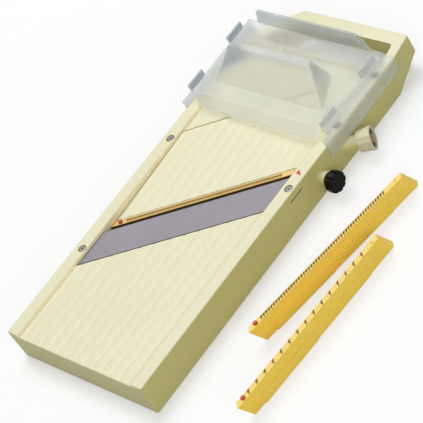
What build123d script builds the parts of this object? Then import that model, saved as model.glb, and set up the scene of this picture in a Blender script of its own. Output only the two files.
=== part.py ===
"""Wide mandoline slicer with a tilting runway, a diagonal blade, three julienne combs and a hand guard.

Lengths are millimetres. X runs across the slicer, Y from its front end to its handle, Z up from the table.
The diagonal parts are drawn in the cut frame: u runs along the blade, v square to it towards the handle.
"""
import os
from math import atan, cos, degrees, pi, radians, sin, tan

from build123d import *

# Body
body_width = 156.0
body_length = 358.0
body_height = 30.0
handle_rise = 4.0
handle_rise_length = 26.0
tail_slope_length = 33.5
tail_slope_rise = 17.0
corner_cut_length = 54.0
rail_width = 12.0
outer_wall = 2.5
inner_wall = 2.0
rail_skin = 3.0
deck_drop = 2.6
deck_thickness = 3.0
corner_radius = 2.0
edge_radius = 1.2
groove_count = 13
groove_width = 5.0
groove_depth = 0.18
deck_rib_height = 3.5
deck_rib_width = 2.0

# Handle end
handle_length = 40.0
grip_bar_width = 11.0
grip_side_width = 9.0
grip_front_wall = 4.0
grip_corner_radius = 3.0

# Cut line
cut_angle = 37.0
cut_before_rear = 198.0

# Blade
blade_width = 28.2
blade_thickness = 1.5
blade_edge_land = 0.25
blade_bevel_width = 2.4
blade_overlap = 17.0
blade_sink = 0.6
blade_fit = 0.2
blade_front_gap = 0.6
tongue_width = 13.0
tongue_depth = 8.5
ledge_thickness = 3.0
wall_slot_length = 15.5
wall_slot_height = 1.6
wall_slot_drop = 6.5
wall_slot_skin = 0.7

# Combs
slice_gap = 6.2
comb_thickness = 5.0
comb_height = 18.5
comb_top_below_edge = 3.0
comb_guide_gap = 0.3
comb_left_reach = 0.4
comb_right_reach = 0.2
comb_end_slant = 24.0
comb_panel_depth = 1.2
comb_panel_height = 9.0
comb_panel_setback = 13.0
comb_edge_radius = 0.5
strip_thickness = 0.7
strip_depth = 5.0
strip_fit = 0.05
strip_side_offset = 2.0
tooth_from_left = 14.0
tooth_from_right = 18.0
tooth_twist = 53.0
tooth_rake = 0.6
dot_radius = 1.9
dot_height = 1.5
dot_seat = 1.2
dot_inset = 7.5
dimple_radius = 1.1
dimple_depth = 0.8
dimple_inset = 6.5
fine_pitch = 2.3
fine_height = 2.2
fine_base = 2.4
medium_pitch = 2.7
medium_height = 3.0
medium_base = 3.2
coarse_pitch = 9.55
coarse_height = 4.2
coarse_base = 4.2
medium_comb_x = 132.8
medium_comb_y = 162.1
medium_comb_angle = 10.1
coarse_comb_x = 159.3
coarse_comb_y = 105.1
coarse_comb_angle = 3.8

# Runway and pivot
runway_gap = 0.4
runway_nose = 0.9
runway_side_gap = 0.8
runway_thickness = 3.0
runway_flange_width = 2.0
runway_flange_drop = 8.0
flange_gap = 1.5
runway_reach = 74.8
seam_gap = 1.2
pivot_before_seam = 5.6
pivot_radius = 2.0
pivot_depth = 7.4
pivot_play = 0.08
pivot_fit = 0.04
pivot_eye_radius = 4.6
pivot_eye_width = 7.0
pivot_eye_spacing = 55.0
pivot_end_reach = 5.0

# Thickness adjuster
bar_v = 32.5
bar_thickness = 8.0
bar_height = 11.0
bar_below_deck = 20.6
bar_left_room = 1.1
bar_right_room = 14.6
bar_travel = 6.6
bar_guide_gap = 0.3
bar_bore_depth = 30.0
guide_wall = 2.2
guide_length = 22.0
ramp_slope = 0.36
ramp_gap = 0.45
pin_radius = 1.5
pin_seat_fit = 0.02
pin_start_above_bar = 4.2
pin_from_left = 34.0
pin_from_right = 28.5
lug_thickness = 1.7
lug_width = 8.0
lug_front_gap = 1.3
lug_rear_gap = 0.4
lug_below_pin = 3.2
spindle_radius = 2.5
spindle_play = 0.1
spindle_engagement = 16.5
collar_radius = 4.0
collar_width = 0.8
collar_gap = 0.3
knob_boss_length = 8.6
knob_boss_base_radius = 7.2
knob_boss_tip_radius = 6.0
knob_gap = 0.4
knob_length = 12.0
knob_facets = 12
knob_inner_radius = 8.6
knob_outer_radius = 10.4
knob_recess_radius = 8.2
knob_recess_depth = 2.8
knob_floor = 3.0
knob_washer_radius = 7.8
knob_washer_thickness = 1.2
knob_screw_head_radius = 4.6
knob_screw_head_height = 1.4
knob_screw_radius = 1.4
knob_screw_length = 9.0

# Comb clamp
stud_z = 12.5
stud_radius = 2.5
stud_play = 0.1
stud_boss_radius = 6.6
stud_boss_length = 6.5
pad_radius = 3.2
pad_thickness = 1.2
pad_gap = 0.3
pad_pin_radius = 1.2
pad_pin_depth = 1.6
pad_pin_play = 0.1
thumb_gap = 2.6
thumb_length = 7.5
thumb_radius = 8.9
thumb_lobes = 9
thumb_scallop_radius = 1.5
thumb_collar_length = 1.6
thumb_collar_radius = 6.6

# Rail screws
screw_head_radius = 3.2
screw_head_height = 1.6
screw_radius = 1.5
screw_fit = 0.05
screw_sink = 1.9
screw_recess_radius = 3.6
screw_boss_radius = 4.6
screw_boss_depth = 14.0
screw_inset_left = 7.8
screw_inset_right = 5.2
blade_screw_length = 8.0
pivot_screw_length = 5.4
bearing_screw_length = 7.0
bearing_screw_behind_spindle = 7.4

# Hand guard
guard_before_rear = 108.0
guard_length = 82.0
guard_wall = 2.0
guard_plate_above_rails = 10.3
guard_plate_inset = 3.4
guard_side_gap = 0.9
guard_shoulder_drop = 5.5
guard_skirt_below_rails = 10.4
guard_skirt_front_reach = 9.0
guard_skirt_rear_reach = 2.0
guard_skirt_corner = 6.0
guard_skirt_toe = 2.5
guard_back_corner = 4.0
guard_runner_gap = 0.3
guard_runner_width = 2.4
guard_runner_inset = 3.5
guard_flange_run = 7.0
guard_flange_drop = 6.6
guard_flange_inset = 2.6
guard_flange_taper = 11.0
guard_back_height = 16.7
guard_back_inset = 11.6
guard_back_taper = 7.5
guard_tab_height = 6.8
guard_tab_length = 18.5
guard_tab_spacing = 54.0
guard_tab_thickness = 2.0
grip_height = 26.5
grip_base_half = 62.0
grip_top_half = 46.0
grip_front_setback = 14.0
grip_base_depth = 36.0
grip_top_setback = 34.0
grip_top_depth = 8.0
grip_rear_narrowing = 16.0
grip_round = 3.0
spike_count = 6
spike_spacing = 21.7
spike_radius = 2.2
spike_rail_clearance = 0.8
spike_from_rear = 14.0

# Values worked out from the driving sizes
half = body_width / 2
inner = half - rail_width
deck_top = body_height - deck_drop
deck_under = deck_top - deck_thickness
handle_front = body_length - handle_length
cut_cos = cos(radians(cut_angle))
cut_sin = sin(radians(cut_angle))
cut_tan = tan(radians(cut_angle))
cut_y = body_length - cut_before_rear
cut = Plane(origin=(0, cut_y, 0), x_dir=(cut_cos, cut_sin, 0), z_dir=(0, 0, 1))
blade_top = deck_top - blade_sink
blade_under = blade_top - blade_thickness
tongue_middle = -blade_width / 2
comb_front = slice_gap
comb_rear = comb_front + comb_thickness
comb_middle = comb_front + comb_thickness / 2
comb_top = blade_top - comb_top_below_edge
comb_under = comb_top - comb_height
comb_left = -(inner + comb_left_reach)
comb_right = inner + comb_right_reach
comb_length = (comb_right - comb_left) / cut_cos
runway_front = comb_rear + runway_gap
runway_rear = runway_front + runway_reach
seam_v = runway_rear + seam_gap
pivot_v = runway_rear - pivot_before_seam
pivot_z = deck_top - pivot_depth
runway_drop_angle = degrees(atan(bar_travel * ramp_slope / (pivot_v - bar_v)))
bar_front = bar_v - bar_thickness / 2
bar_rear = bar_v + bar_thickness / 2
bar_under = deck_top - bar_below_deck
bar_top = bar_under + bar_height
bar_middle = bar_under + bar_height / 2
guide_front = bar_front - bar_guide_gap - guide_wall
guide_rear = bar_rear + bar_guide_gap + guide_wall
pin_level_z = bar_under + pin_start_above_bar + bar_travel * ramp_slope
guard_plate_top = body_height + guard_plate_above_rails
guard_plate_under = guard_plate_top - guard_wall
guard_plate_half = half - guard_plate_inset
guard_flange_half = guard_plate_half - guard_flange_inset
guard_back_half = guard_plate_half - guard_back_inset
guard_skirt_z = body_height - guard_skirt_below_rails
guard_front = body_length - guard_before_rear
guard_rear = guard_front + guard_length
skirt_inner = half + guard_side_gap
skirt_outer = skirt_inner + guard_wall
shoulder_z = guard_plate_top - guard_shoulder_drop
strip_v = comb_rear - strip_side_offset
slant_reach = comb_height * tan(radians(comb_end_slant)) * cut_cos
pad_x = comb_right + slant_reach * (comb_top - stud_z + pad_radius) / comb_height + pad_gap
stud_y = cut_y + comb_middle / cut_cos + pad_x * cut_tan
thumb_x = half + stud_boss_length + thumb_gap


def line_y(v, x):
    """Y of the line that runs along the cut at distance v behind the blade's edge, at a given X."""
    return cut_y + v / cut_cos + x * cut_tan


def along_u(x, v):
    """u of the point at a given X on the line at distance v behind the blade's edge."""
    return (x + v * cut_sin) / cut_cos


bar_left = along_u(-inner, bar_rear) + bar_left_room
bar_right = along_u(inner, bar_v) - bar_right_room
pin_places = (bar_left + pin_from_left, bar_right - pin_from_right)
pocket_end_u = bar_right + bar_travel + 3 * collar_gap + collar_width
knob_start_u = along_u(half, bar_v) + knob_boss_length + knob_gap
dot_u = along_u(comb_left, comb_middle) + dot_inset


def block(x0, x1, y0, y1, z0, z1):
    """Box given by its two corners."""
    return Pos((x0 + x1) / 2, (y0 + y1) / 2, (z0 + z1) / 2) * Box(x1 - x0, y1 - y0, z1 - z0)


def prism(points, z0, z1):
    """Upright solid on a closed outline in plan."""
    outline = make_face(Polyline(*points, close=True))
    return Pos(0, 0, z0) * extrude(outline, amount=z1 - z0, dir=(0, 0, 1))


def profile_across(points, x0, x1):
    """Solid whose outline in (Y, Z) is carried across X."""
    outline = make_face(Polyline(*[(0, y, z) for y, z in points], close=True))
    return Pos(x0, 0, 0) * extrude(outline, amount=x1 - x0, dir=(1, 0, 0))


def profile_along(points, y0, y1):
    """Solid whose outline in (X, Z) is carried along Y."""
    outline = make_face(Polyline(*[(x, 0, z) for x, z in points], close=True))
    return Pos(0, y0, 0) * extrude(outline, amount=y1 - y0, dir=(0, 1, 0))


def strip_plate(x0, x1, v0, v1, z0, z1):
    """Plate between two lines along the cut, with its ends parallel to the rails."""
    corners = [(x0, line_y(v0, x0)), (x1, line_y(v0, x1)), (x1, line_y(v1, x1)), (x0, line_y(v1, x0))]
    return prism(corners, z0, z1)


def cut_block(u0, u1, v0, v1, z0, z1):
    """Box in the cut frame."""
    return cut * block(u0, u1, v0, v1, z0, z1)


def cut_rod(u0, u1, v, z, radius, end_radius=None):
    """Round bar or cone along the cut."""
    tip = radius if end_radius is None else end_radius
    length = u1 - u0
    bar = Cylinder(radius, length) if tip == radius else Cone(radius, tip, length)
    return cut * Pos((u0 + u1) / 2, v, z) * Rot(0, 90, 0) * bar


def pin_across(u, v0, v1, z, radius):
    """Round pin square to the cut."""
    return cut * Pos(u, (v0 + v1) / 2, z) * Rot(90, 0, 0) * Cylinder(radius, v1 - v0)


def side_rod(x0, x1, y, z, radius):
    """Round bar along X."""
    return Pos((x0 + x1) / 2, y, z) * Rot(0, 90, 0) * Cylinder(radius, x1 - x0)


def post(x, y, z0, z1, radius):
    """Upright round bar."""
    return Pos(x, y, (z0 + z1) / 2) * Cylinder(radius, z1 - z0)


def lowered(shape):
    """Level runway parts, turned about the pivot to the thickest setting."""
    axis = Axis((0, line_y(pivot_v, 0), pivot_z), (cut_cos, cut_sin, 0))
    return shape.rotate(axis, runway_drop_angle)


def screw_places():
    """Plan positions of the blade, pivot and bearing screws on the rails."""
    sides = (screw_inset_left - half, half - screw_inset_right)
    blade = [(x, line_y(tongue_middle, x)) for x in sides]
    pivot = [(x, line_y(pivot_v, x)) for x in sides]
    return blade, pivot, [(sides[1], line_y(bar_v, sides[1]) + bearing_screw_behind_spindle)]


def grooves(z):
    """Shallow round-bottomed grooves along the sliding surfaces, cut down from height z."""
    side = groove_width / 2
    floor = ThreePointArc((-side, 0, z), (0, 0, z - groove_depth), (side, 0, z))
    lid = Polyline((side, 0, z), (side, 0, z + groove_depth), (-side, 0, z + groove_depth), (-side, 0, z))
    groove = extrude(make_face([floor, lid]), amount=handle_front + 1, dir=(0, 1, 0))
    pitch = 2 * inner / groove_count
    places = [(index + 0.5) * pitch - inner for index in range(groove_count)]
    return Part() + [Pos(x, -1, 0) * groove for x in places]


def outer_body():
    """Outside of the frame: plan with one corner cut along the blade's direction, and side profile."""
    cut_x = -half + corner_cut_length * cut_cos
    cut_end = body_length - corner_cut_length * cut_sin
    plan = [(-half, 0), (half, 0), (half, body_length), (cut_x, body_length), (-half, cut_end)]
    rear_top = body_height + handle_rise
    side = [
        (0, 0),
        (body_length - tail_slope_length, 0),
        (body_length, tail_slope_rise),
        (body_length, rear_top),
        (body_length - handle_rise_length, body_height),
        (0, body_height),
    ]
    body = prism(plan, 0, rear_top) & profile_across(side, -half, half)
    body = fillet(body.edges().filter_by(Axis.Z), corner_radius)
    tops = [face for face in body.faces() if face.normal_at().Z > 0.9]
    shared = [edge for face in tops for edge in face.edges()]
    rim = [edge for edge in shared if sum(edge.is_same(other) for other in shared) == 1]
    return fillet(rim, edge_radius)


def finger_hole():
    """Opening in the handle end, with its left side along the corner cut."""
    front = handle_front + grip_front_wall
    rear = body_length - grip_bar_width
    right = half - grip_side_width
    cut_x = -half + corner_cut_length * cut_cos
    rear_left = cut_x - grip_bar_width / cut_tan + grip_bar_width / cut_sin
    front_left = rear_left - (rear - front) / cut_tan
    hole = prism([(front_left, front), (right, front), (right, rear), (rear_left, rear)], -1, 2 * body_height)
    return fillet(hole.edges().filter_by(Axis.Z), grip_corner_radius)


def pocket_rim(body):
    """Upper edges of the sunken sliding surface, between the rails."""
    rim = body.edges().filter_by_position(Axis.Z, deck_top + edge_radius, body_height)
    rim = rim.filter_by_position(Axis.X, -inner, inner)
    return rim.filter_by_position(Axis.Y, edge_radius, handle_front).filter_by(Axis.Z, reverse=True)


def hollow(body):
    """Body opened from below, with the sliding surface sunk between the rails."""
    body -= block(-inner, inner, -1, handle_front, deck_top, 2 * body_height)
    body = fillet(pocket_rim(body), edge_radius)
    across = body.edges().filter_by(Axis.X)
    deck_ends = across.filter_by_position(Axis.Z, deck_under, deck_top + edge_radius / 2)
    body = fillet(deck_ends.sort_by(Axis.Y)[0], edge_radius)
    body -= block(-inner, inner, outer_wall, handle_front, -1, deck_under)
    for side in (-1, 1):
        near, far = sorted((side * (inner + inner_wall), side * (half - outer_wall)))
        body -= block(near, far, outer_wall, handle_front, -1, body_height - rail_skin)
    body -= strip_plate(-inner, inner, -blade_overlap + blade_fit, seam_v, -1, 2 * body_height)
    return body - finger_hole()


def frame_bosses():
    """Blocks that carry the blade, the screws, the adjusting bar and the comb clamp."""
    parts = strip_plate(-inner, inner, -blade_width - 2 * blade_front_gap, -blade_overlap + blade_fit,
                        blade_under - ledge_thickness, blade_under)
    for place in sum(screw_places(), []):
        parts += post(*place, body_height - screw_boss_depth, body_height - rail_skin, screw_boss_radius)
    guide_low = bar_under - bar_guide_gap - guide_wall
    guide_high = bar_top + bar_guide_gap + guide_wall
    left_end = along_u(-inner, guide_rear) + guide_length / 2
    left = cut_block(left_end - 2 * guide_length, left_end, guide_front, guide_rear, guide_low, guide_high)
    right = cut_block(bar_right - guide_length / 3, bar_right + 2 * guide_length,
                      guide_front, guide_rear, guide_low, guide_high)
    between = block(-inner - inner_wall, inner + inner_wall, 0, body_length, 0, body_height)
    parts += (left + right) & between
    pitch = 2 * inner / 4
    for index in (-1, 0, 1):
        x = index * pitch
        rib_end = line_y(-blade_width, x) + ledge_thickness
        parts += block(x - deck_rib_width / 2, x + deck_rib_width / 2, outer_wall, rib_end,
                       deck_under - deck_rib_height, deck_under)
    wall_u = along_u(half, bar_v)
    parts += cut_rod(along_u(inner, bar_v), wall_u, bar_v, bar_middle, knob_boss_base_radius)
    parts += cut_rod(wall_u, wall_u + knob_boss_length, bar_v, bar_middle,
                     knob_boss_base_radius, knob_boss_tip_radius)
    return parts + side_rod(half - outer_wall, half + stud_boss_length, stud_y, stud_z, stud_boss_radius)


def frame_cuts():
    """Openings and bores of the frame."""
    cuts = strip_plate(-inner, inner, -blade_width - blade_front_gap, 0, blade_under, 2 * body_height)
    tongue = tongue_width / 2 + blade_fit
    reach = inner + tongue_depth + blade_fit
    cuts += strip_plate(-reach, reach, tongue_middle - tongue, tongue_middle + tongue,
                        blade_under, blade_top + blade_fit)
    comb_low, comb_high = comb_front - comb_guide_gap, comb_rear + comb_guide_gap
    comb_reach = inner + inner_wall + 1
    cuts += strip_plate(-comb_reach, comb_reach, comb_low, comb_high, -1, comb_top + comb_guide_gap)
    cuts += cut_block(-body_width, pocket_end_u, bar_front - bar_guide_gap, bar_rear + bar_guide_gap,
                      bar_under - bar_guide_gap, bar_top + bar_guide_gap) & block(
        -inner, inner, 0, body_length, 0, body_height)
    cuts += cut_rod(pocket_end_u - 1, along_u(half, bar_v) + knob_boss_length + 1, bar_v, bar_middle,
                    spindle_radius + spindle_play)
    cuts += side_rod(inner + inner_wall, half + stud_boss_length + 1, stud_y, stud_z, stud_radius + stud_play)
    pivot_reach = inner + pivot_end_reach + pivot_fit
    cuts += cut_rod(along_u(-pivot_reach, pivot_v), along_u(pivot_reach, pivot_v), pivot_v, pivot_z,
                    pivot_radius + pivot_fit)
    slot_z = body_height - wall_slot_drop
    slot_y = line_y(tongue_middle, half - screw_inset_right)
    cuts += block(half - outer_wall, half + 1, slot_y - wall_slot_length / 2, slot_y + wall_slot_length / 2,
                  slot_z - wall_slot_height / 2, slot_z + wall_slot_height / 2)
    cuts += block(half - outer_wall, half - wall_slot_skin, slot_y - wall_slot_length / 2,
                  slot_y + wall_slot_length / 2, slot_z - 2 * wall_slot_height, slot_z + wall_slot_height)
    for places, length in zip(screw_places(), (blade_screw_length, pivot_screw_length, bearing_screw_length)):
        for place in places:
            seat = body_height - screw_sink
            cuts += post(*place, seat - length - 1, seat, screw_radius + screw_fit)
            cuts += post(*place, seat, 2 * body_height, screw_recess_radius)
    return cuts


def frame():
    """The one-piece frame: rails, front and rear decks, handle end and the seats of everything else."""
    return hollow(outer_body()) + frame_bosses() - frame_cuts() - grooves(deck_top)


def blade():
    """Flat diagonal blade, ground along its rear edge, with a tongue into each rail."""
    plate_x = inner - blade_fit
    top = strip_plate(-plate_x, plate_x, -blade_width, 0, blade_under, blade_top)
    reach = inner + tongue_depth
    half_tongue = tongue_width / 2
    top += strip_plate(-reach, reach, tongue_middle - half_tongue, tongue_middle + half_tongue,
                       blade_under, blade_top)
    wedge = make_face(Polyline(
        (0, -blade_bevel_width, blade_under), (0, 1, blade_under),
        (0, 1, blade_top), (0, 0, blade_top - blade_edge_land), close=True))
    span = along_u(half, 0) - along_u(-half, 0)
    top -= cut * Pos(-span, 0, 0) * extrude(wedge, amount=2 * span, dir=(1, 0, 0))
    for place in screw_places()[0]:
        top -= post(*place, blade_under - 1, blade_top + 1, screw_radius + 2 * screw_fit)
    return top


def rail_screws(places, length):
    """Pan-head screws standing in the rails."""
    solids = []
    seat = body_height - screw_sink
    for place in places:
        head = post(*place, seat, seat + screw_head_height, screw_head_radius)
        head = fillet(head.edges().group_by(Axis.Z)[-1], screw_head_height / 2)
        slots = block(-screw_head_radius / 2, screw_head_radius / 2, -screw_fit * 5, screw_fit * 5,
                      seat + screw_head_height / 2, seat + 2 * screw_head_height)
        slots += Rot(0, 0, 90) * slots
        solids.append(head - Pos(*place, 0) * slots + post(*place, seat - length, seat, screw_radius))
    return Compound(children=solids)


def pivot_rod():
    """Steel rod that the runway swings on."""
    reach = inner + pivot_end_reach
    return cut_rod(along_u(-reach, pivot_v), along_u(reach, pivot_v), pivot_v, pivot_z, pivot_radius)


def runway_plate():
    """Tilting runway with its side flanges, pivot eyes and the lugs that hold the lift pins."""
    side = inner - runway_side_gap
    low = deck_top - runway_thickness
    plate = strip_plate(-side, side, runway_front, runway_rear, low, deck_top)
    across = Axis((0, cut_y, 0), (-cut_sin, cut_cos, 0))
    plate = chamfer(plate.edges().group_by(Axis.Z)[-1].sort_by(across)[0], runway_nose)
    for sign in (-1, 1):
        near, far = sorted((sign * side, sign * (side - runway_flange_width)))
        flange_end = pivot_v - 2 * pivot_eye_radius
        for v0, v1 in ((runway_front, guide_front - flange_gap), (guide_rear + flange_gap, flange_end)):
            plate += strip_plate(near, far, v0, v1, low - runway_flange_drop, low)
    centre = along_u(0, pivot_v)
    for index in (-1, 0, 1):
        u = centre + index * pivot_eye_spacing
        u0, u1 = u - pivot_eye_width / 2, u + pivot_eye_width / 2
        plate += cut_rod(u0, u1, pivot_v, pivot_z, pivot_eye_radius)
        plate += cut_block(u0, u1, pivot_v - pivot_eye_radius, pivot_v + pivot_eye_radius / 2,
                           pivot_z, deck_top)
    for u in pin_places:
        for v0 in (bar_front - lug_front_gap - lug_thickness, bar_rear + lug_rear_gap):
            plate += cut_block(u - lug_width / 2, u + lug_width / 2, v0, v0 + lug_thickness,
                               pin_level_z - lug_below_pin, deck_top)
        plate -= pin_across(u, bar_front - lug_front_gap - 2 * lug_thickness, bar_rear + 2 * lug_thickness,
                            pin_level_z, pin_radius + pin_seat_fit)
    plate -= cut_rod(along_u(-half, pivot_v), along_u(half, pivot_v), pivot_v, pivot_z,
                     pivot_radius + pivot_play)
    return lowered(plate - grooves(deck_top))


def lift_pins():
    """Steel pins in the runway's lugs, which ride in the bar's ramps."""
    v0 = bar_front - lug_front_gap - lug_thickness
    v1 = bar_rear + lug_rear_gap + lug_thickness
    pins = [pin_across(u, v0, v1, pin_level_z, pin_radius) for u in pin_places]
    return Compound(children=[lowered(pin) for pin in pins])


def adjusting_bar():
    """Sliding bar under the runway, with two sloping slots for the lift pins and a threaded end."""
    bar = cut_block(bar_left, bar_right, bar_front, bar_rear, bar_under, bar_top)
    low_z = bar_under + pin_start_above_bar
    rise = bar_travel * ramp_slope
    radius = pin_radius + ramp_gap
    v0, v1 = bar_front - 1, bar_rear + 1
    for u in pin_places:
        bar -= pin_across(u, v0, v1, low_z, radius)
        bar -= pin_across(u - bar_travel, v0, v1, low_z + rise, radius)
        middle = Pos(u - bar_travel / 2, bar_v, low_z + rise / 2) * Rot(0, degrees(atan(ramp_slope)), 0)
        bar -= cut * middle * Box((bar_travel**2 + rise**2) ** 0.5, v1 - v0, 2 * radius)
    return bar - cut_rod(bar_right - bar_bore_depth, bar_right + 1, bar_v, bar_middle,
                         spindle_radius + spindle_play)


def knob_spindle():
    """Threaded spindle of the thickness knob, with the collar that bears on the frame."""
    collar_end = pocket_end_u - collar_gap
    knob_end = knob_start_u + knob_length - knob_recess_depth - knob_floor
    spindle = cut_rod(bar_right - spindle_engagement, knob_end, bar_v, bar_middle, spindle_radius)
    spindle += cut_rod(collar_end - collar_width, collar_end, bar_v, bar_middle, collar_radius)
    screw_end = knob_start_u + knob_length - knob_recess_depth
    return spindle - cut_rod(screw_end - knob_screw_length - 1, screw_end, bar_v, bar_middle,
                             knob_screw_radius + screw_fit)


def thickness_knob():
    """Faceted knob, wider at its face, with a recess for its screw."""
    inner_face = RegularPolygon(knob_inner_radius, knob_facets)
    outer_face = Pos(0, 0, knob_length) * RegularPolygon(knob_outer_radius, knob_facets)
    knob = loft([inner_face.face(), outer_face.face()], ruled=True)
    knob = chamfer(knob.edges().group_by(Axis.Z)[-1], edge_radius / 2)
    face = knob_length - knob_recess_depth
    knob -= post(0, 0, face, knob_length + 1, knob_recess_radius)
    knob -= post(0, 0, -1, face - knob_floor, spindle_radius + screw_fit)
    knob -= post(0, 0, face - knob_floor - 1, face + 1, knob_screw_radius + screw_fit)
    return cut * Pos(knob_start_u, bar_v, bar_middle) * Rot(0, 90, 0) * knob


def knob_screw():
    """Screw in the knob's recess that holds it on the spindle."""
    head = knob_start_u + knob_length - knob_recess_depth + knob_washer_thickness
    screw = cut_rod(head, head + knob_screw_head_height, bar_v, bar_middle,
                    knob_screw_head_radius, knob_screw_head_radius * 0.8)
    return screw + cut_rod(head - knob_screw_length, head, bar_v, bar_middle, knob_screw_radius)


def knob_washer():
    """Dark washer under the screw's head, on the floor of the knob's recess."""
    floor = knob_start_u + knob_length - knob_recess_depth
    ring = cut_rod(floor, floor + knob_washer_thickness, bar_v, bar_middle, knob_washer_radius)
    return ring - cut_rod(floor - 1, floor + 1 + knob_washer_thickness, bar_v, bar_middle,
                          knob_screw_radius + screw_fit)


def clamp_pad():
    """Pressure pad on the tip of the comb clamp's stud."""
    return side_rod(pad_x, pad_x + pad_thickness, stud_y, stud_z, pad_radius) - side_rod(
        pad_x + pad_thickness - pad_pin_depth / 2, pad_x + pad_thickness + 1, stud_y, stud_z,
        pad_pin_radius + pad_pin_play)


def thumb_stud():
    """Threaded stud of the comb clamp, with a pin that turns in the pad."""
    shoulder = pad_x + pad_thickness + stud_play
    stud = side_rod(shoulder, thumb_x + thumb_length / 2, stud_y, stud_z, stud_radius)
    return stud + side_rod(shoulder - pad_pin_depth / 2, shoulder, stud_y, stud_z, pad_pin_radius)


def thumb_knob():
    """Scalloped black thumb knob."""
    knob = side_rod(thumb_x, thumb_x + thumb_length, stud_y, stud_z, thumb_radius)
    knob = fillet(knob.edges(), edge_radius)
    for index in range(thumb_lobes):
        turn = 2 * pi * index / thumb_lobes
        knob -= side_rod(thumb_x - 1, thumb_x + thumb_length + 1, stud_y + thumb_radius * cos(turn),
                         stud_z + thumb_radius * sin(turn), thumb_scallop_radius)
    knob += side_rod(thumb_x - thumb_collar_length, thumb_x, stud_y, stud_z, thumb_collar_radius)
    return knob - side_rod(thumb_x - thumb_collar_length - 1, thumb_x + thumb_length / 2, stud_y, stud_z,
                           stud_radius + screw_fit)


def comb_outline(x0, x1, v0, v1):
    """Outline of a comb in (u, v), with its ends parallel to the rails."""
    return [(along_u(x0, v0), v0), (along_u(x1, v0), v0), (along_u(x1, v1), v1), (along_u(x0, v1), v1)]


def tooth_places(pitch):
    """u of every tooth of a comb, counted from the end with the dot."""
    count = int((comb_length - tooth_from_left - tooth_from_right) // pitch) + 1
    first = along_u(comb_left, strip_v) + tooth_from_left
    return [first + index * pitch for index in range(count)]


def comb_strip(pitch, height, base):
    """Toothed steel strip of a comb, in the cut frame, with every tooth raked and twisted out of line."""
    places = tooth_places(pitch)
    foot = comb_top + strip_fit
    strip = block(places[0] - base / 2, places[-1] + base / 2, strip_v - strip_thickness / 2,
                  strip_v + strip_thickness / 2, comb_top - strip_depth, foot)
    tip = -base * (0.5 + tooth_rake)
    side = make_face(Polyline((-base / 2, 0, 0), (base / 2, 0, 0), (tip, 0, height), close=True))
    tooth = Pos(0, -strip_thickness / 2, 0) * extrude(side, amount=strip_thickness, dir=(0, 1, 0))
    return strip + [Pos(u, strip_v, foot) * Rot(0, 0, tooth_twist) * tooth for u in places]


def comb_bar(pitch, base):
    """Yellow bar of a comb, in the cut frame: slot for the strip, stepped panel, dot seat and two dimples."""
    foot = make_face(Polyline(*comb_outline(comb_left, comb_right, comb_front, comb_rear), close=True))
    lean = (-tan(radians(comb_end_slant)), 0, 1)
    sloping_height = comb_height / cos(radians(comb_end_slant))
    bar = Pos(slant_reach / cut_cos, 0, comb_under) * extrude(foot, amount=sloping_height, dir=lean)
    upright = bar.edges().filter_by(lambda edge: edge.bounding_box().size.Z > comb_height / 2)
    bar = fillet(upright, comb_edge_radius)
    setback = comb_panel_setback * cut_cos
    panel_x = (comb_left + setback + slant_reach, (comb_left + comb_right) / 2, comb_right - 1.5 * setback)
    for x0, x1, depth in zip(panel_x, panel_x[1:], (comb_panel_depth, comb_panel_depth / 2)):
        panel = comb_outline(x0, x1, comb_front - depth, comb_front)
        bar += prism(panel, comb_under, comb_under + comb_panel_height)
    places = tooth_places(pitch)
    slot_end = base / 2 + strip_fit
    bar -= block(places[0] - slot_end, places[-1] + slot_end, strip_v - strip_thickness / 2 - strip_fit,
                 strip_v + strip_thickness / 2 + strip_fit, comb_top - strip_depth - strip_fit, comb_top + 1)
    bar -= post(dot_u, comb_middle, comb_top - dot_seat, comb_top + 1, dot_radius + strip_fit)
    end_u = along_u(comb_right, comb_middle)
    bar -= post(end_u - dimple_inset, comb_middle, comb_top - dimple_depth, comb_top + 1, dimple_radius)
    end_dimple = Rot(0, 90 - comb_end_slant, 0) * Cylinder(dimple_radius, 2 * dimple_depth)
    low = comb_height / 4
    return bar - Pos(end_u + low * tan(radians(comb_end_slant)), comb_middle, comb_top - low) * end_dimple


def comb_dot():
    """Red marker plug at the far end of a comb's bar, in the cut frame."""
    dot = post(dot_u, comb_middle, comb_top - dot_seat, comb_top + dot_height, dot_radius)
    return fillet(dot.edges().group_by(Axis.Z)[-1], dot_height / 2)


def stood_on_table(x, y, turn):
    """Where a loose comb stands: its middle at (x, y), turned from the Y axis towards X."""
    middle = along_u((comb_left + comb_right) / 2, comb_middle)
    return Pos(x, y, -comb_under) * Rot(0, 0, 90 - turn) * Pos(-middle, -comb_middle, 0)


def comb_pieces(name, place, pitch, height, base):
    """The three pieces of one comb, by node name."""
    return {
        f"{name}_comb_bar": place * comb_bar(pitch, base),
        f"{name}_comb_teeth": place * comb_strip(pitch, height, base),
        f"{name}_comb_dot": place * comb_dot(),
    }


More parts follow.
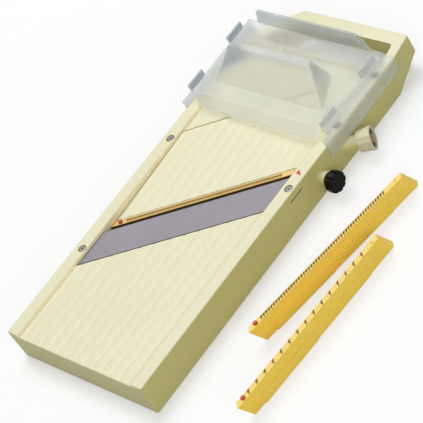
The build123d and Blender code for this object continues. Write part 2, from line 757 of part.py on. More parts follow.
def guard_shell():
    """Guard's plate, shoulders and skirts."""
    edge = guard_wall * 0.4
    outside = [(skirt_outer, guard_skirt_z), (skirt_outer, shoulder_z),
               (guard_plate_half, guard_plate_top)]
    inside = [(guard_plate_half - edge, guard_plate_under), (skirt_inner, shoulder_z - edge),
              (skirt_inner, guard_skirt_z)]
    mirrored = [(-x, z) for x, z in outside + inside]
    section = outside + mirrored[2::-1] + mirrored[:2:-1] + inside
    y0 = guard_front - guard_skirt_front_reach
    y1 = guard_rear + guard_skirt_rear_reach
    shell = profile_along(section, y0, y1)
    side = block(-body_width, body_width, y0, y1, guard_skirt_z, guard_plate_top)
    toe, heel = side.edges().filter_by(Axis.X).group_by(Axis.Z)[0].sort_by(Axis.Y)
    side = fillet(heel, guard_skirt_corner)
    toe = side.edges().filter_by(Axis.X).group_by(Axis.Z)[0].sort_by(Axis.Y)[0]
    shell &= fillet(toe, guard_skirt_toe)
    for far, near in ((y0 - 1, guard_front), (guard_rear, y1 + 1)):
        shell -= block(-skirt_inner, skirt_inner, far, near, 0, 2 * guard_plate_top)
    return shell


def guard_flanges():
    """Sloping front lip, upright back plate, runners on the rails and finger tabs."""
    lip_y = guard_front - guard_flange_run
    lip_z = guard_plate_top - guard_flange_drop
    lip = profile_across([(guard_front + guard_wall, guard_plate_top), (guard_front, guard_plate_top),
                          (lip_y, lip_z), (lip_y, lip_z - guard_wall),
                          (guard_front + guard_wall, guard_plate_under)],
                         -guard_flange_half, guard_flange_half)
    low_half = guard_flange_half - guard_flange_taper
    lip &= profile_along([(-low_half, lip_z - guard_wall), (low_half, lip_z - guard_wall),
                          (guard_flange_half, guard_plate_top), (-guard_flange_half, guard_plate_top)],
                         lip_y - 1, guard_rear)
    back_top = guard_back_half - guard_back_taper
    back_z = guard_plate_top + guard_back_height
    back = profile_along([(-guard_back_half, guard_plate_under), (guard_back_half, guard_plate_under),
                          (back_top, back_z), (-back_top, back_z)], guard_rear - guard_wall, guard_rear)
    parts = lip + fillet(back.edges().filter_by(Axis.Y).group_by(Axis.Z)[-1], guard_back_corner)
    for side in (-1, 1):
        outer = guard_plate_half - guard_runner_inset
        near, far = sorted((side * outer, side * (outer - guard_runner_width)))
        parts += block(near, far, guard_front + guard_wall, guard_rear - guard_wall,
                       body_height + guard_runner_gap, guard_plate_under)
        near, far = sorted((side * guard_plate_half, side * (guard_plate_half - guard_tab_thickness)))
        for start in (guard_front, guard_front + guard_tab_spacing):
            parts += block(near, far, start, start + guard_tab_length,
                           guard_plate_under, guard_plate_top + guard_tab_height)
    return parts


def grip_form(inset, low, high):
    """Tapered palm grip, drawn in by an inset on every side."""
    front = guard_front + grip_front_setback + inset
    rear = guard_front + grip_front_setback + grip_base_depth - inset
    base = grip_base_half - inset
    top_front = guard_front + grip_top_setback + inset
    top_rear = guard_front + grip_top_setback + grip_top_depth - inset / 2
    top = grip_top_half - inset
    foot_rear = base - grip_rear_narrowing
    foot = make_face(Polyline((-base, front, low), (base, front, low), (foot_rear, rear, low),
                              (-foot_rear, rear, low), close=True))
    crown_rear = top - grip_round
    crown = make_face(Polyline((-top, top_front, high), (top, top_front, high), (crown_rear, top_rear, high),
                               (-crown_rear, top_rear, high), close=True))
    return loft([foot, crown], ruled=True)


def hand_guard():
    """Frosted guard that rides on the rails: plate, skirts, palm grip, tabs and holding spikes."""
    crown = guard_plate_top + grip_height
    grip = grip_form(0, guard_plate_under, crown)
    soft = [edge for edge in grip.edges() if edge.center().Z > guard_plate_top]
    grip = fillet(soft, grip_round)
    guard = guard_shell() + guard_flanges() + grip
    guard -= grip_form(guard_wall, guard_plate_under - 1, crown - guard_wall)
    tip = body_height + spike_rail_clearance
    length = guard_plate_under - tip
    spike = Cone(spike_radius / 8, spike_radius, length)
    spike = Pos(0, guard_rear - spike_from_rear, tip + length / 2) * spike
    places = [(index - (spike_count - 1) / 2) * spike_spacing for index in range(spike_count)]
    return guard + [Pos(x, 0, 0) * spike for x in places]


blade_screws, pivot_screws, bearing_screws = screw_places()
nodes = {
    "frame": frame(),
    "blade": blade(),
    "blade_screws": rail_screws(blade_screws, blade_screw_length),
    "pivot_rod": pivot_rod(),
    "pivot_screws": rail_screws(pivot_screws, pivot_screw_length),
    "bearing_screw": rail_screws(bearing_screws, bearing_screw_length),
    "runway_plate": runway_plate(),
    "lift_pins": lift_pins(),
    "adjusting_bar": adjusting_bar(),
    "knob_spindle": knob_spindle(),
    "thickness_knob": thickness_knob(),
    "knob_washer": knob_washer(),
    "knob_screw": knob_screw(),
    "clamp_pad": clamp_pad(),
    "thumb_stud": thumb_stud(),
    "thumb_knob": thumb_knob(),
    "hand_guard": hand_guard(),
}
nodes.update(comb_pieces("fine", cut.location, fine_pitch, fine_height, fine_base))
nodes.update(comb_pieces("medium", stood_on_table(medium_comb_x, medium_comb_y, medium_comb_angle),
                         medium_pitch, medium_height, medium_base))
nodes.update(comb_pieces("coarse", stood_on_table(coarse_comb_x, coarse_comb_y, coarse_comb_angle),
                         coarse_pitch, coarse_height, coarse_base))

os.makedirs("parts", exist_ok=True)
for name, shape in nodes.items():
    export_step(shape, f"parts/{name}.step")
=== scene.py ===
"""Looks of a wide mandoline slicer: ivory body, diagonal blade, yellow combs, frosted hand guard."""
import logging
import math
from dataclasses import dataclass, field, replace
from enum import Enum
from typing import Any, Optional, Union

import bmesh
import bpy
from mathutils import Matrix, Vector


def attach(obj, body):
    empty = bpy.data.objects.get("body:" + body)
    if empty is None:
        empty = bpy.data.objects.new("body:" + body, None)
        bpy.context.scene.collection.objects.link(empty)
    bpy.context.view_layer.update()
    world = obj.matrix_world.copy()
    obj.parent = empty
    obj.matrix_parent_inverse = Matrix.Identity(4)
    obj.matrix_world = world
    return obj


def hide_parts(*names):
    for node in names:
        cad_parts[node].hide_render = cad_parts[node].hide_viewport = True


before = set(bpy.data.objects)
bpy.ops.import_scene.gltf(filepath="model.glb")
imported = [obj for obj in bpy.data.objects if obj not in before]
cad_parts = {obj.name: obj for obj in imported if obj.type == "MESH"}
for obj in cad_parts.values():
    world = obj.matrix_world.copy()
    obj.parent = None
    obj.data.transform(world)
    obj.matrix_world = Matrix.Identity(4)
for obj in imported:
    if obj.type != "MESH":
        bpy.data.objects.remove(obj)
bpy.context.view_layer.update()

LOG = logging.getLogger("slicer")
MM = 0.001
CUT_ANGLE = math.radians(37.0)
# End of the painted shadow line for steel that has none
NO_PAINTED_SHADOW = -1.0
# Distance from the middle times the sideways share of a face's direction
INWARD_LIMIT = 10.0 * MM
PLAIN_SCALE = Vector((1.0, 1.0, 1.0))
LENGTHWAYS_SCALE = Vector((1.0, 0.04, 1.0))
BRUSHED_SCALE = Vector((0.03, 1.0, 1.0))
FEW_OCTAVES, SOME_OCTAVES, MANY_OCTAVES, MOST_OCTAVES = 2.0, 3.0, 4.0, 5.0
NOISE_ROUGHNESS = 0.55
MIDDLE = 0.5
# Sockets of a colour mix, which share their names with those for other data
MIX_SHARE, MIX_FIRST, MIX_SECOND, MIX_RESULT = 0, 6, 7, 2
X_AXIS, Y_AXIS, Z_AXIS = 0, 1, 2
WELD_DISTANCE = 0.001 * MM
FLAT_ANGLE = math.radians(0.6)
WHITE = (1.0, 1.0, 1.0)

Colour = tuple[float, float, float]
Point = tuple[float, float, float]
Owner = Union[bpy.types.Material, bpy.types.World]


class Grain(Enum):
    """Direction in which a surface's texture runs."""

    EVEN = "even"
    LENGTHWAYS = "lengthways"
    ALONG_BLADE = "along_blade"


class Link:
    """One output socket of a material, with the arithmetic that shader maths needs."""

    def __init__(self, graph: "Graph", socket: bpy.types.NodeSocket) -> None:
        """Keep the graph and the socket."""
        self.graph = graph
        self.socket = socket

    def _math(self, operation: str, first: Any, second: Any) -> "Link":
        """Add one Math node.

        Args:
            operation: Name of the operation.
            first: Left value.
            second: Right value.

        Returns:
            The result.
        """
        return self.graph.node("ShaderNodeMath", {"operation": operation}, {0: first, 1: second})

    def __add__(self, other: Any) -> "Link":
        """Sum."""
        return self._math("ADD", self, other)

    def __radd__(self, other: Any) -> "Link":
        """Sum with a number on the left."""
        return self._math("ADD", other, self)

    def __sub__(self, other: Any) -> "Link":
        """Difference."""
        return self._math("SUBTRACT", self, other)

    def __rsub__(self, other: Any) -> "Link":
        """Difference from a number on the left."""
        return self._math("SUBTRACT", other, self)

    def __mul__(self, other: Any) -> "Link":
        """Product."""
        return self._math("MULTIPLY", self, other)

    def __rmul__(self, other: Any) -> "Link":
        """Product with a number on the left."""
        return self._math("MULTIPLY", other, self)

    def above(self, level: float) -> "Link":
        """One where the value is over a level, else zero."""
        return self._math("GREATER_THAN", self, level)

    def most(self, other: Any) -> "Link":
        """Larger of two values."""
        return self._math("MAXIMUM", self, other)

    def least(self, other: Any) -> "Link":
        """Smaller of two values."""
        return self._math("MINIMUM", self, other)


class Graph:
    """Nodes of one material, or of the room round the object."""

    def __init__(self, owner: Owner) -> None:
        """Start empty.

        Args:
            owner: The material or world that gets the nodes.
        """
        owner.use_nodes = True
        self.tree = owner.node_tree
        self.tree.nodes.clear()

    def plug(self, socket: bpy.types.NodeSocket, value: Any) -> None:
        """Give a socket a link or a constant.

        Args:
            socket: The input.
            value: A Link, a number, or a tuple of numbers.
        """
        if isinstance(value, Link):
            self.tree.links.new(value.socket, socket)
        elif isinstance(value, tuple) and socket.type == "RGBA":
            socket.default_value = (*value[:3], 1.0)
        else:
            socket.default_value = value

    def node(self, kind: str, settings: Optional[dict] = None, inputs: Optional[dict] = None,
             output: Union[int, str] = 0) -> Optional[Link]:
        """Add any node.

        Args:
            kind: Type of the node.
            settings: Properties, set before the sockets.
            inputs: Values or links by socket name or number.
            output: Socket to hand back.

        Returns:
            The chosen output, or None for a node that ends the graph.
        """
        new = self.tree.nodes.new(kind)
        for key, value in (settings or {}).items():
            setattr(new, key, value)
        for key, value in (inputs or {}).items():
            self.plug(new.inputs[key], value)
        return Link(self, new.outputs[output]) if new.outputs else None

    def axis(self, vector: Link, index: int) -> Link:
        """One component of a vector, by its number."""
        return self.node("ShaderNodeSeparateXYZ", None, {0: vector}, output=index)

    def place(self, scale: Vector = PLAIN_SCALE, turn: float = 0.0) -> Link:
        """Object coordinates, stretched and turned about the vertical.

        Args:
            scale: Stretch per axis, applied after the turn.
            turn: Angle in radians.

        Returns:
            The mapped vector.
        """
        where = self.node("ShaderNodeTexCoord", output="Object")
        turned = self.node("ShaderNodeMapping", {"vector_type": "POINT"},
                           {"Vector": where, "Rotation": (0.0, 0.0, -turn)})
        return self.node("ShaderNodeMapping", {"vector_type": "POINT"},
                         {"Vector": turned, "Scale": tuple(scale)})

    def noise(self, scale: float, detail: float, where: Optional[Link] = None) -> Link:
        """Soft noise between zero and one.

        Args:
            scale: Features per metre.
            detail: Octaves.
            where: Coordinates, or None for plain object coordinates.

        Returns:
            The noise value.
        """
        return self.node("ShaderNodeTexNoise", None, {
            "Vector": where or self.place(), "Scale": scale, "Detail": detail,
            "Roughness": NOISE_ROUGHNESS})

    def blend(self, share: Link, first: Any, second: Any) -> Link:
        """Mix two colours.

        Args:
            share: Share of the second.
            first: Colour at zero.
            second: Colour at one.

        Returns:
            The mixed colour.
        """
        return self.node("ShaderNodeMix", {"data_type": "RGBA"},
                         {MIX_SHARE: share, MIX_FIRST: first, MIX_SECOND: second}, output=MIX_RESULT)

    def bump(self, height: Link, depth: float, strength: float = 1.0) -> Link:
        """Surface normal bent by a height.

        Args:
            height: Height between zero and one.
            depth: Real depth in metres.
            strength: Share of the effect.

        Returns:
            The normal.
        """
        return self.node("ShaderNodeBump", None,
                         {"Strength": strength, "Distance": depth, "Height": height})

    def facing(self) -> Link:
        """Direction in which the surface looks."""
        return self.node("ShaderNodeNewGeometry", output="Normal")

    def seen(self) -> Link:
        """Mark what the camera, a reflection or a clear piece shows.

        Returns:
            One for such rays, else zero.
        """
        rays = [self.node("ShaderNodeLightPath", output=f"Is {kind} Ray")
                for kind in ("Camera", "Glossy", "Transmission")]
        return rays[0].most(rays[1]).most(rays[2])

    def upright(self) -> Link:
        """One on walls, zero on level faces."""
        level = self.axis(self.facing(), Z_AXIS)
        return 1.0 - level * level

    def inward(self) -> Link:
        """Mark the faces that look across the body's middle.

        Returns:
            One on such faces, else zero.
        """
        aside = self.axis(self.place(), X_AXIS)
        turned = self.axis(self.facing(), X_AXIS)
        return (0.0 - aside * turned).above(INWARD_LIMIT)

    def shade(self, **inputs: Any) -> Link:
        """Add the surface shader.

        Args:
            **inputs: Values or links by socket name, with underscores for spaces.

        Returns:
            The shader.
        """
        named = {key.replace("_", " "): value for key, value in inputs.items()}
        return self.node("ShaderNodeBsdfPrincipled", None, named)

    def end(self, shader: Link, kind: str = "Material") -> None:
        """Send a shader to the output.

        Args:
            shader: The shader.
            kind: Material or World.
        """
        self.node(f"ShaderNodeOutput{kind}", None, {0: shader})


@dataclass(frozen=True)
class MouldedPlastic:
    """Moulded plastic with a faint cloud of colour, painted shading on its walls and a fine moulded
    grain.
    """

    colour: Colour
    shade: Colour
    painted_wall_shading: Colour
    roughness: float = 0.4
    roughness_spread: float = 0.12
    cloud: float = 14.0
    grain: float = 2600.0
    long_grain: float = 2600.0 / 6
    grain_depth: float = 0.02 * MM
    gloss: float = 0.4
    direction: Grain = Grain.EVEN
    painted_inner_shading: Optional[Colour] = None

    def dress(self, graph: Graph) -> Link:
        """Add the nodes.

        Args:
            graph: The material's graph.

        Returns:
            The shader.
        """
        cloud = graph.noise(self.cloud, MANY_OCTAVES)
        if self.direction is Grain.LENGTHWAYS:
            grain = graph.noise(self.long_grain, FEW_OCTAVES, graph.place(LENGTHWAYS_SCALE))
        else:
            grain = graph.noise(self.grain, FEW_OCTAVES)
        upright = graph.upright()
        # Upright faces take the wall colour as painted shading: painted shade where it is darker than
        # the top, painted light where it is brighter.
        tone = graph.blend(upright, graph.blend(cloud, self.colour, self.shade), self.painted_wall_shading)
        # Walls that face the middle take their own painted shading; on the ivory it is a paler colour,
        # painted light in their shade.
        if self.painted_inner_shading:
            tone = graph.blend(upright * graph.inward(), tone, self.painted_inner_shading)
        return graph.shade(
            Base_Color=tone,
            Roughness=self.roughness + self.roughness_spread * (cloud - MIDDLE),
            Specular_IOR_Level=self.gloss,
            Normal=graph.bump(grain, self.grain_depth),
        )


@dataclass(frozen=True)
class BrushedSteel:
    """Ground or brushed steel, with hair lines, painted shade on its upright faces and a painted
    shadow line along its front.
    """

    colour: Colour
    dark: Colour
    edge: Colour
    painted_shadow_end: float = NO_PAINTED_SHADOW
    roughness: float = 0.36
    roughness_spread: float = 0.16
    metallic: float = 0.9
    gloss: float = 0.3
    lines: float = 900.0
    line_depth: float = 0.01 * MM
    line_strength: float = 0.6
    line_share: float = 0.55
    patches: float = 22.0
    direction: Grain = Grain.ALONG_BLADE

    def dress(self, graph: Graph) -> Link:
        """Add the nodes.

        Args:
            graph: The material's graph.

        Returns:
            The shader.
        """
        turn = CUT_ANGLE if self.direction is Grain.ALONG_BLADE else 0.0
        stretch = PLAIN_SCALE if self.direction is Grain.EVEN else BRUSHED_SCALE
        hair = graph.noise(self.lines, SOME_OCTAVES, graph.place(stretch, turn))
        patches = graph.noise(self.patches, MOST_OCTAVES)
        wear = self.line_share * hair + (1.0 - self.line_share) * patches
        face = graph.blend(wear, self.dark, self.colour)
        # Painted shade: the top in front of this line and every upright face take the dark edge
        # colour.
        behind_painted_shadow = graph.axis(graph.place(turn=turn), Y_AXIS).above(self.painted_shadow_end)
        bare = behind_painted_shadow * (1.0 - graph.upright())
        return graph.shade(
            Base_Color=graph.blend(bare, self.edge, face),
            Metallic=self.metallic,
            Roughness=self.roughness + self.roughness_spread * (hair - MIDDLE),
            Specular_IOR_Level=self.gloss,
            Normal=graph.bump(hair, self.line_depth, self.line_strength),
        )


@dataclass(frozen=True)
class CombSteel:
    """Dark stamped steel above a level, and the bar's own plastic over the strip's buried edge."""

    level: float
    colour: Colour
    dark: Colour = (0.085, 0.06, 0.028)
    cover: Colour = (0.88, 0.62, 0.12)
    metallic: float = 0.45
    roughness: float = 0.36
    roughness_spread: float = 0.12
    rub: float = 700.0
    rub_depth: float = 0.01 * MM
    rub_strength: float = 0.5

    def dress(self, graph: Graph) -> Link:
        """Add the nodes.

        Args:
            graph: The material's graph.

        Returns:
            The shader.
        """
        bare = graph.axis(graph.place(), Z_AXIS).above(self.level)
        rub = graph.noise(self.rub, MANY_OCTAVES)
        steel = graph.blend(rub, self.dark, self.colour)
        return graph.shade(
            Base_Color=graph.blend(bare, self.cover, steel),
            Metallic=self.metallic * bare,
            Roughness=self.roughness + self.roughness_spread * rub,
            Normal=graph.bump(rub, self.rub_depth, self.rub_strength),
        )


@dataclass(frozen=True)
class FrostedPlastic:
    """Cloudy see-through plastic with a frosted grain, denser in the walls that stand on its plate,
    with painted shade on those walls.
    """

    colour: Colour
    shade: Colour
    painted_wall_shading: Colour
    painted_inner_shading: Colour
    plate_top: float = 40.5 * MM
    steep: float = 0.93
    cover: float = 0.5
    wall_cover: float = 0.62
    cover_spread: float = 0.06
    clear: float = 0.6
    bending: float = 1.2
    roughness: float = 0.42
    roughness_spread: float = 0.1
    cloud: float = 18.0
    frost: float = 3200.0
    frost_depth: float = 0.02 * MM

    def dress(self, graph: Graph) -> Link:
        """Add the nodes.

        Args:
            graph: The material's graph.

        Returns:
            The shader.
        """
        cloud = graph.noise(self.cloud, MANY_OCTAVES)
        frost = graph.noise(self.frost, FEW_OCTAVES)
        inward = graph.inward()
        standing = graph.axis(graph.place(), Z_AXIS).above(self.plate_top)
        tab = graph.upright().above(self.steep) * inward.most(standing)
        level = graph.blend(cloud, self.colour, self.shade)
        # Painted shade on the tabs: blue-grey walls, and a dark colour on walls above the plate that
        # face the middle.
        painted_wall_shading = graph.blend(inward * standing, self.painted_wall_shading, self.painted_inner_shading)
        cover = self.cover + (self.wall_cover - self.cover) * tab
        return graph.shade(
            Base_Color=graph.blend(tab, level, painted_wall_shading),
            Roughness=self.roughness + self.roughness_spread * cloud,
            Alpha=cover + self.cover_spread * (cloud - MIDDLE),
            Transmission_Weight=self.clear,
            IOR=self.bending,
            Normal=graph.bump(frost, self.frost_depth),
        )


@dataclass(frozen=True)
class PrintedInk:
    """Thin printed ink, worn a little."""

    colour: Colour
    worn: Colour
    rub: float = 900.0
    worn_from: float = 0.64
    roughness: float = 0.5

    def dress(self, graph: Graph) -> Link:
        """Add the nodes.

        Args:
            graph: The material's graph.

        Returns:
            The shader.
        """
        wear = graph.noise(self.rub, MANY_OCTAVES).above(self.worn_from)
        return graph.shade(
            Base_Color=graph.blend(wear, self.colour, self.worn),
            Roughness=self.roughness,
        )


# Ivory with painted shade on its walls and painted light on the walls that face the middle.
IVORY = MouldedPlastic(
    colour=(0.785, 0.76, 0.53), shade=(0.76, 0.73, 0.495), painted_wall_shading=(0.56, 0.52, 0.20),
    painted_inner_shading=(0.96, 0.86, 0.56), direction=Grain.LENGTHWAYS)
KNOB_IVORY = MouldedPlastic(
    colour=(0.70, 0.675, 0.46), shade=(0.66, 0.63, 0.41), painted_wall_shading=(0.64, 0.61, 0.39),
    roughness=0.34)
# Yellow with brighter, deeper yellow walls: painted light on the combs' sides.
YELLOW = MouldedPlastic(
    colour=(0.92, 0.69, 0.17), shade=(0.90, 0.64, 0.14), painted_wall_shading=(1.0, 0.70, 0.085),
    roughness=0.42, cloud=25.0)
# The installed comb's yellow with painted shade: a slightly darker top and near-black walls for the
# shade in the gap behind the blade.
YELLOW_PAINTED_SHADE = MouldedPlastic(
    colour=(0.88, 0.62, 0.22), shade=(0.84, 0.56, 0.18), painted_wall_shading=(0.16, 0.08, 0.02),
    roughness=0.42, cloud=25.0)
RED = MouldedPlastic(
    colour=(0.58, 0.065, 0.02), shade=(0.48, 0.05, 0.015), painted_wall_shading=(0.53, 0.055, 0.02),
    roughness=0.3, gloss=0.25)
BLACK = MouldedPlastic(
    colour=(0.004, 0.004, 0.003), shade=(0.008, 0.008, 0.007), painted_wall_shading=(0.004, 0.004, 0.003),
    roughness=0.25, gloss=0.08)
# Blade steel; its near-black edge colour is painted shade on its upright faces and a painted shadow
# along its front.
BLADE = BrushedSteel(
    colour=(0.30, 0.28, 0.31), dark=(0.175, 0.163, 0.19), edge=(0.05, 0.04, 0.02),
    roughness=0.5, metallic=0.3)
# Plated steel; its darker edge colour is painted shade on the screws' upright faces.
PLATED = BrushedSteel(
    colour=(0.24, 0.23, 0.21), dark=(0.15, 0.14, 0.125), edge=(0.11, 0.105, 0.09),
    metallic=0.8, direction=Grain.EVEN)
BRONZE = BrushedSteel(
    colour=(0.30, 0.16, 0.10), dark=(0.16, 0.08, 0.05), edge=(0.30, 0.15, 0.09),
    roughness=0.45, metallic=0.5, direction=Grain.EVEN)
# Frosted plastic with painted shade: blue-grey tabs, and dark inward walls above the plate.
FROSTED = FrostedPlastic(
    colour=(0.87, 0.88, 0.885), shade=(0.82, 0.835, 0.85),
    painted_wall_shading=(0.66, 0.72, 0.76), painted_inner_shading=(0.16, 0.21, 0.25))
RED_INK = PrintedInk(colour=(0.5, 0.02, 0.015), worn=(0.62, 0.2, 0.15))
# The same comb steel in two tones: the installed comb's teeth are painted lighter and golden, a
# painted reflection of the yellow bar.
LOOSE_TEETH = (0.24, 0.18, 0.085)
INSTALLED_TEETH_PAINTED_LIGHT = (0.66, 0.45, 0.18)

Finish = Union[MouldedPlastic, BrushedSteel, CombSteel, FrostedPlastic, PrintedInk]


def paint(obj: bpy.types.Object, finish: Finish) -> bpy.types.Object:
    """Give an object one finish in every material slot.

    Args:
        obj: The object.
        finish: Its finish.

    Returns:
        The same object.
    """
    material = bpy.data.materials.new(f"{obj.name}_finish")
    graph = Graph(material)
    graph.end(finish.dress(graph))
    if not obj.data.materials:
        obj.data.materials.append(material)
    for index in range(len(obj.data.materials)):
        obj.data.materials[index] = material
    return obj


def dressed(node: str, finish: Finish) -> bpy.types.Object:
    """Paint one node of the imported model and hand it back."""
    return paint(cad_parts[node], finish)


def only(obj: bpy.types.Object) -> None:
    """Select one object alone and make it active.

    Args:
        obj: The object.
    """
    bpy.ops.object.select_all(action="DESELECT")
    obj.select_set(True)
    bpy.context.view_layer.objects.active = obj


def place_in_mesh(obj: bpy.types.Object) -> None:
    """Move an object's place, turn and scale into its mesh.

    Args:
        obj: The object.
    """
    only(obj)
    bpy.ops.object.transform_apply(location=True, rotation=True, scale=True)


def copied(node: str, name: str) -> bpy.types.Object:
    """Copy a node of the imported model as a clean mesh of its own.

    Args:
        node: Name of the node.
        name: Name of the copy.

    Returns:
        The copy, with its triangles joined into faces.
    """
    only(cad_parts[node])
    bpy.ops.object.duplicate()
    copy = bpy.context.view_layer.objects.active
    copy.name = name
    bpy.ops.object.mode_set(mode="EDIT")
    bpy.ops.mesh.select_all(action="SELECT")
    bpy.ops.mesh.remove_doubles(threshold=WELD_DISTANCE)
    bpy.ops.mesh.dissolve_limited(angle_limit=FLAT_ANGLE)
    bpy.ops.object.mode_set(mode="OBJECT")
    return copy


def soften(obj: bpy.types.Object, width: float, segments: int = 2, angle: float = 32.0) -> None:
    """Round an object's sharp edges.

    Args:
        obj: The object.
        width: Width of the rounding in metres.
        segments: Steps of the rounding.
        angle: Smallest edge angle in degrees that is rounded.
    """
    only(obj)
    bevel = obj.modifiers.new("soft_edges", "BEVEL")
    bevel.width = width
    bevel.segments = segments
    bevel.limit_method = "ANGLE"
    bevel.angle_limit = math.radians(angle)
    bevel.harden_normals = True
    bpy.ops.object.shade_smooth()
    bpy.ops.object.modifier_apply(modifier=bevel.name)


@dataclass
class Body:
    """Frame with its rails, decks and handle end, and the red pointer printed on the right rail."""

    rail_top: float = 30.0 * MM
    pointer_corners: tuple[tuple[float, float], ...] = (
        (69.0 * MM, 211.9 * MM), (75.0 * MM, 211.3 * MM), (69.6 * MM, 216.0 * MM))
    pointer_radius: float = 3.0 * MM
    pointer_lift: float = 0.02 * MM
    pointer_thickness: float = 0.08 * MM

    def build(self) -> list[bpy.types.Object]:
        """Paint the frame and print the pointer on it.

        Returns:
            The frame and the pointer.
        """
        return [dressed("frame", IVORY), self.build_pointer()]

    def build_pointer(self) -> bpy.types.Object:
        """Make the pointer as a thin raised print.

        Returns:
            The pointer.
        """
        bpy.ops.object.select_all(action="DESELECT")
        bpy.ops.mesh.primitive_circle_add(
            vertices=len(self.pointer_corners), radius=self.pointer_radius, fill_type="NGON")
        pointer = bpy.context.view_layer.objects.active
        pointer.name = "pointer_print"
        bpy.ops.object.mode_set(mode="EDIT")
        for index, (x, y) in enumerate(self.pointer_corners):
            bpy.ops.mesh.select_all(action="DESELECT")
            mesh = bmesh.from_edit_mesh(pointer.data)
            mesh.verts.ensure_lookup_table()
            corner = mesh.verts[index]
            corner.select_set(True)
            target = Vector((x, y, self.rail_top + self.pointer_lift))
            bpy.ops.transform.translate(value=target - corner.co)
        bpy.ops.mesh.select_all(action="SELECT")
        bpy.ops.mesh.extrude_region_move(
            TRANSFORM_OT_translate={"value": (0.0, 0.0, self.pointer_thickness)})
        bpy.ops.mesh.select_all(action="SELECT")
        bpy.ops.mesh.normals_make_consistent(inside=False)
        bpy.ops.object.mode_set(mode="OBJECT")
        place_in_mesh(pointer)
        paint(pointer, RED_INK)
        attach(pointer, "frame")
        return pointer


@dataclass
class Cutter:
    """Blade and the screws in the rails."""

    # Width of the painted shadow line along the blade's front edge
    painted_shadow_width: float = 1.1 * MM
    screws: tuple[str, ...] = ("blade_screws", "pivot_screws", "bearing_screw")

    def front_edge(self) -> float:
        """Find how far the blade's front edge is from the origin, square to the blade.

        Returns:
            The distance in metres.
        """
        square = Vector((-math.sin(CUT_ANGLE), math.cos(CUT_ANGLE), 0.0))
        return min(square.dot(corner.co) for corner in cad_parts["blade"].data.vertices)

    def build(self) -> list[bpy.types.Object]:
        """Paint the blade, with a painted shadow line along its front edge, and the screws.

        Returns:
            The pieces.
        """
        steel = replace(BLADE, painted_shadow_end=self.front_edge() + self.painted_shadow_width)
        return [dressed("blade", steel), *(dressed(name, PLATED) for name in self.screws)]


@dataclass
class Adjuster:
    """Runway, adjusting bar and thickness knob."""

    plastic: tuple[str, ...] = ("runway_plate", "adjusting_bar")
    metal: tuple[str, ...] = ("pivot_rod", "lift_pins", "knob_spindle")

    def build(self) -> list[bpy.types.Object]:
        """Paint the adjuster's pieces.

        Returns:
            The pieces.
        """
        return [
            *(dressed(name, IVORY) for name in self.plastic),
            *(dressed(name, PLATED) for name in self.metal),
            dressed("thickness_knob", KNOB_IVORY),
            # The black washer stands for the shade deep in the knob's recess: painted shade.
            dressed("knob_washer", BLACK),
            dressed("knob_screw", BRONZE),
        ]


@dataclass
class CombClamp:
    """Thumbscrew and pad that hold the installed comb."""

    metal: tuple[str, ...] = ("thumb_stud", "clamp_pad")

    def build(self) -> list[bpy.types.Object]:
        """Paint the clamp's pieces.

        Returns:
            The pieces.
        """
        return [*(dressed(name, PLATED) for name in self.metal), dressed("thumb_knob", BLACK)]


@dataclass
class Comb:
    """One julienne comb: bar, toothed strip and marker dot."""

    name: str
    plastic: MouldedPlastic = YELLOW
    steel: Colour = LOOSE_TEETH
    cover: float = 0.08 * MM

    def bar_top(self) -> float:
        """Height of the bar's top over the table."""
        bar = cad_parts[f"{self.name}_comb_bar"]
        return max(corner.co.z for corner in bar.data.vertices)

    def build(self) -> list[bpy.types.Object]:
        """Paint the comb's pieces.

        Returns:
            The pieces.
        """
        strip = CombSteel(self.bar_top() + self.cover, self.steel)
        return [
            dressed(f"{self.name}_comb_bar", self.plastic),
            dressed(f"{self.name}_comb_teeth", strip),
            dressed(f"{self.name}_comb_dot", RED),
        ]


@dataclass
class HandGuard:
    """Frosted guard with softened edges."""

    edge: float = 0.5 * MM

    def build(self) -> list[bpy.types.Object]:
        """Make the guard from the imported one, with its edges rounded.

        Returns:
            The guard, alone in a list.
        """
        guard = copied("hand_guard", "guard_shell")
        soften(guard, self.edge)
        paint(guard, FROSTED)
        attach(guard, "hand_guard")
        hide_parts("hand_guard")
        return [guard]


@dataclass(frozen=True)
class Lamp:
    """One soft square lamp."""

    name: str
    place: Point
    aim: Point
    size: float
    power: float

    def hang(self) -> None:
        """Add the lamp to the scene, turned to the point it faces."""
        data = bpy.data.lights.new(self.name, "AREA")
        data.size = self.size
        data.energy = self.power
        lamp = bpy.data.objects.new(self.name, data)
        bpy.context.scene.collection.objects.link(lamp)
        lamp.location = self.place
        ahead = Vector(self.aim) - Vector(self.place)
        lamp.rotation_euler = ahead.to_track_quat("-Z", "Y").to_euler()


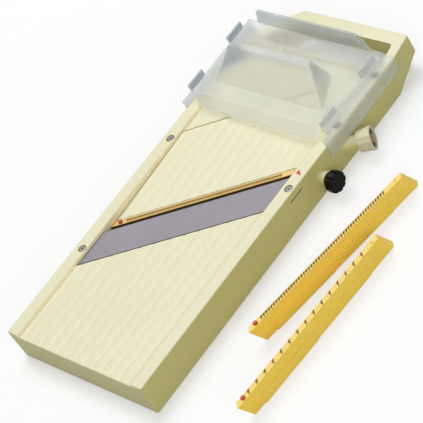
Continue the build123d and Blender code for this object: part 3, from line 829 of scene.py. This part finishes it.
@dataclass
class Studio:
    """Camera, soft light, floor and white surroundings."""

    eye: Vector = field(default_factory=lambda: Vector((1.18492, -0.40052, 1.13471)))
    right: Vector = field(default_factory=lambda: Vector((0.68949, 0.58052, -0.43313)))
    ahead: Vector = field(default_factory=lambda: Vector((-0.68503, 0.32842, -0.65029)))
    lens: float = 187.05
    sensor: float = 36.0
    far_limit: float = 20.0
    room_level: float = 0.36
    floor_size: float = 8.0
    floor_drop: float = 0.6 * MM
    floor_cloud: float = 3.0
    floor_roughness: float = 0.9
    floor_tones: tuple[Colour, Colour] = ((0.97, 0.97, 0.97), (0.99, 0.99, 0.99))
    floor_bounce: Colour = (0.5, 0.5, 0.5)
    covered_half_width: float = 62.0 * MM
    covered_front: float = 16.0 * MM
    covered_rear: float = 354.0 * MM
    fade: float = 30.0 * MM
    glow_share: float = 0.62
    lamps: tuple[Lamp, ...] = (
        Lamp("key", (-1.0, 0.9, 2.3), (0.0, 0.17, 0.0), size=1.5, power=38.0),
        Lamp("fill", (1.7, -0.7, 1.2), (0.05, 0.17, 0.0), size=1.4, power=17.0),
    )

    def set_camera(self) -> None:
        """Stand the camera where the photograph was taken from."""
        data = bpy.data.cameras.new("camera")
        data.sensor_width = self.sensor
        data.lens = self.lens
        data.clip_end = self.far_limit
        camera = bpy.data.objects.new("camera", data)
        bpy.context.scene.collection.objects.link(camera)
        turn = Matrix((self.right, self.right.cross(self.ahead), -self.ahead)).transposed()
        camera.matrix_world = Matrix.Translation(self.eye) @ turn.to_4x4()
        bpy.context.scene.camera = camera

    def away_from_body(self, graph: Graph) -> Link:
        """Measure the floor's distance from the ground under the body.

        Args:
            graph: The floor's graph.

        Returns:
            Zero under the body, rising to one over the fade.
        """
        where = graph.place()
        x = graph.axis(where, X_AXIS)
        y = graph.axis(where, Y_AXIS)
        beside = x.most(0.0 - x) - self.covered_half_width
        away = beside.most(self.covered_front - y).most(y - self.covered_rear)
        return (away * (1.0 / self.fade)).most(0.0).least(1.0)

    def build_floor(self) -> None:
        """Lay a pale floor that takes a soft shadow and glows a little away from the body."""
        bpy.ops.object.select_all(action="DESELECT")
        bpy.ops.mesh.primitive_plane_add(size=self.floor_size, location=(0.0, 0.0, -self.floor_drop))
        floor = bpy.context.view_layer.objects.active
        floor.name = "floor"
        material = bpy.data.materials.new("floor_paper")
        graph = Graph(material)
        seen = graph.seen()
        tone = graph.blend(graph.noise(self.floor_cloud, FEW_OCTAVES), *self.floor_tones)
        paper = graph.shade(
            Base_Color=graph.blend(seen, self.floor_bounce, tone),
            Roughness=self.floor_roughness,
        )
        glow = graph.node("ShaderNodeEmission", None, {"Color": WHITE, "Strength": 1.0})
        share = self.glow_share * seen * self.away_from_body(graph)
        graph.end(graph.node("ShaderNodeMixShader", None, {0: share, 1: paper, 2: glow}))
        floor.data.materials.append(material)

    def set_surroundings(self) -> None:
        """Light the room evenly, white where the camera or a reflection sees it."""
        world = bpy.data.worlds.new("room")
        bpy.context.scene.world = world
        graph = Graph(world)
        level = self.room_level + (1.0 - self.room_level) * graph.seen()
        room = graph.node("ShaderNodeBackground", None, {"Color": WHITE, "Strength": level})
        graph.end(room, "World")

    def build(self) -> None:
        """Set up the whole studio."""
        bpy.context.scene.view_settings.view_transform = "Standard"
        self.set_camera()
        self.set_surroundings()
        self.build_floor()
        for lamp in self.lamps:
            lamp.hang()
        LOG.info("studio: camera, floor, room and %d lamps", len(self.lamps))


def main() -> None:
    """Build every sub-assembly in order and report each piece."""
    logging.basicConfig(level=logging.INFO, format="%(name)s: %(message)s")
    assemblies = (
        Body(), Cutter(), Adjuster(), CombClamp(),
        Comb("fine", YELLOW_PAINTED_SHADE, INSTALLED_TEETH_PAINTED_LIGHT), Comb("medium"), Comb("coarse"),
        HandGuard(),
    )
    for assembly in assemblies:
        for piece in assembly.build():
            LOG.info("%s: %s, %d faces", type(assembly).__name__, piece.name, len(piece.data.polygons))
    Studio().build()


if __name__ == "__main__":
    main()
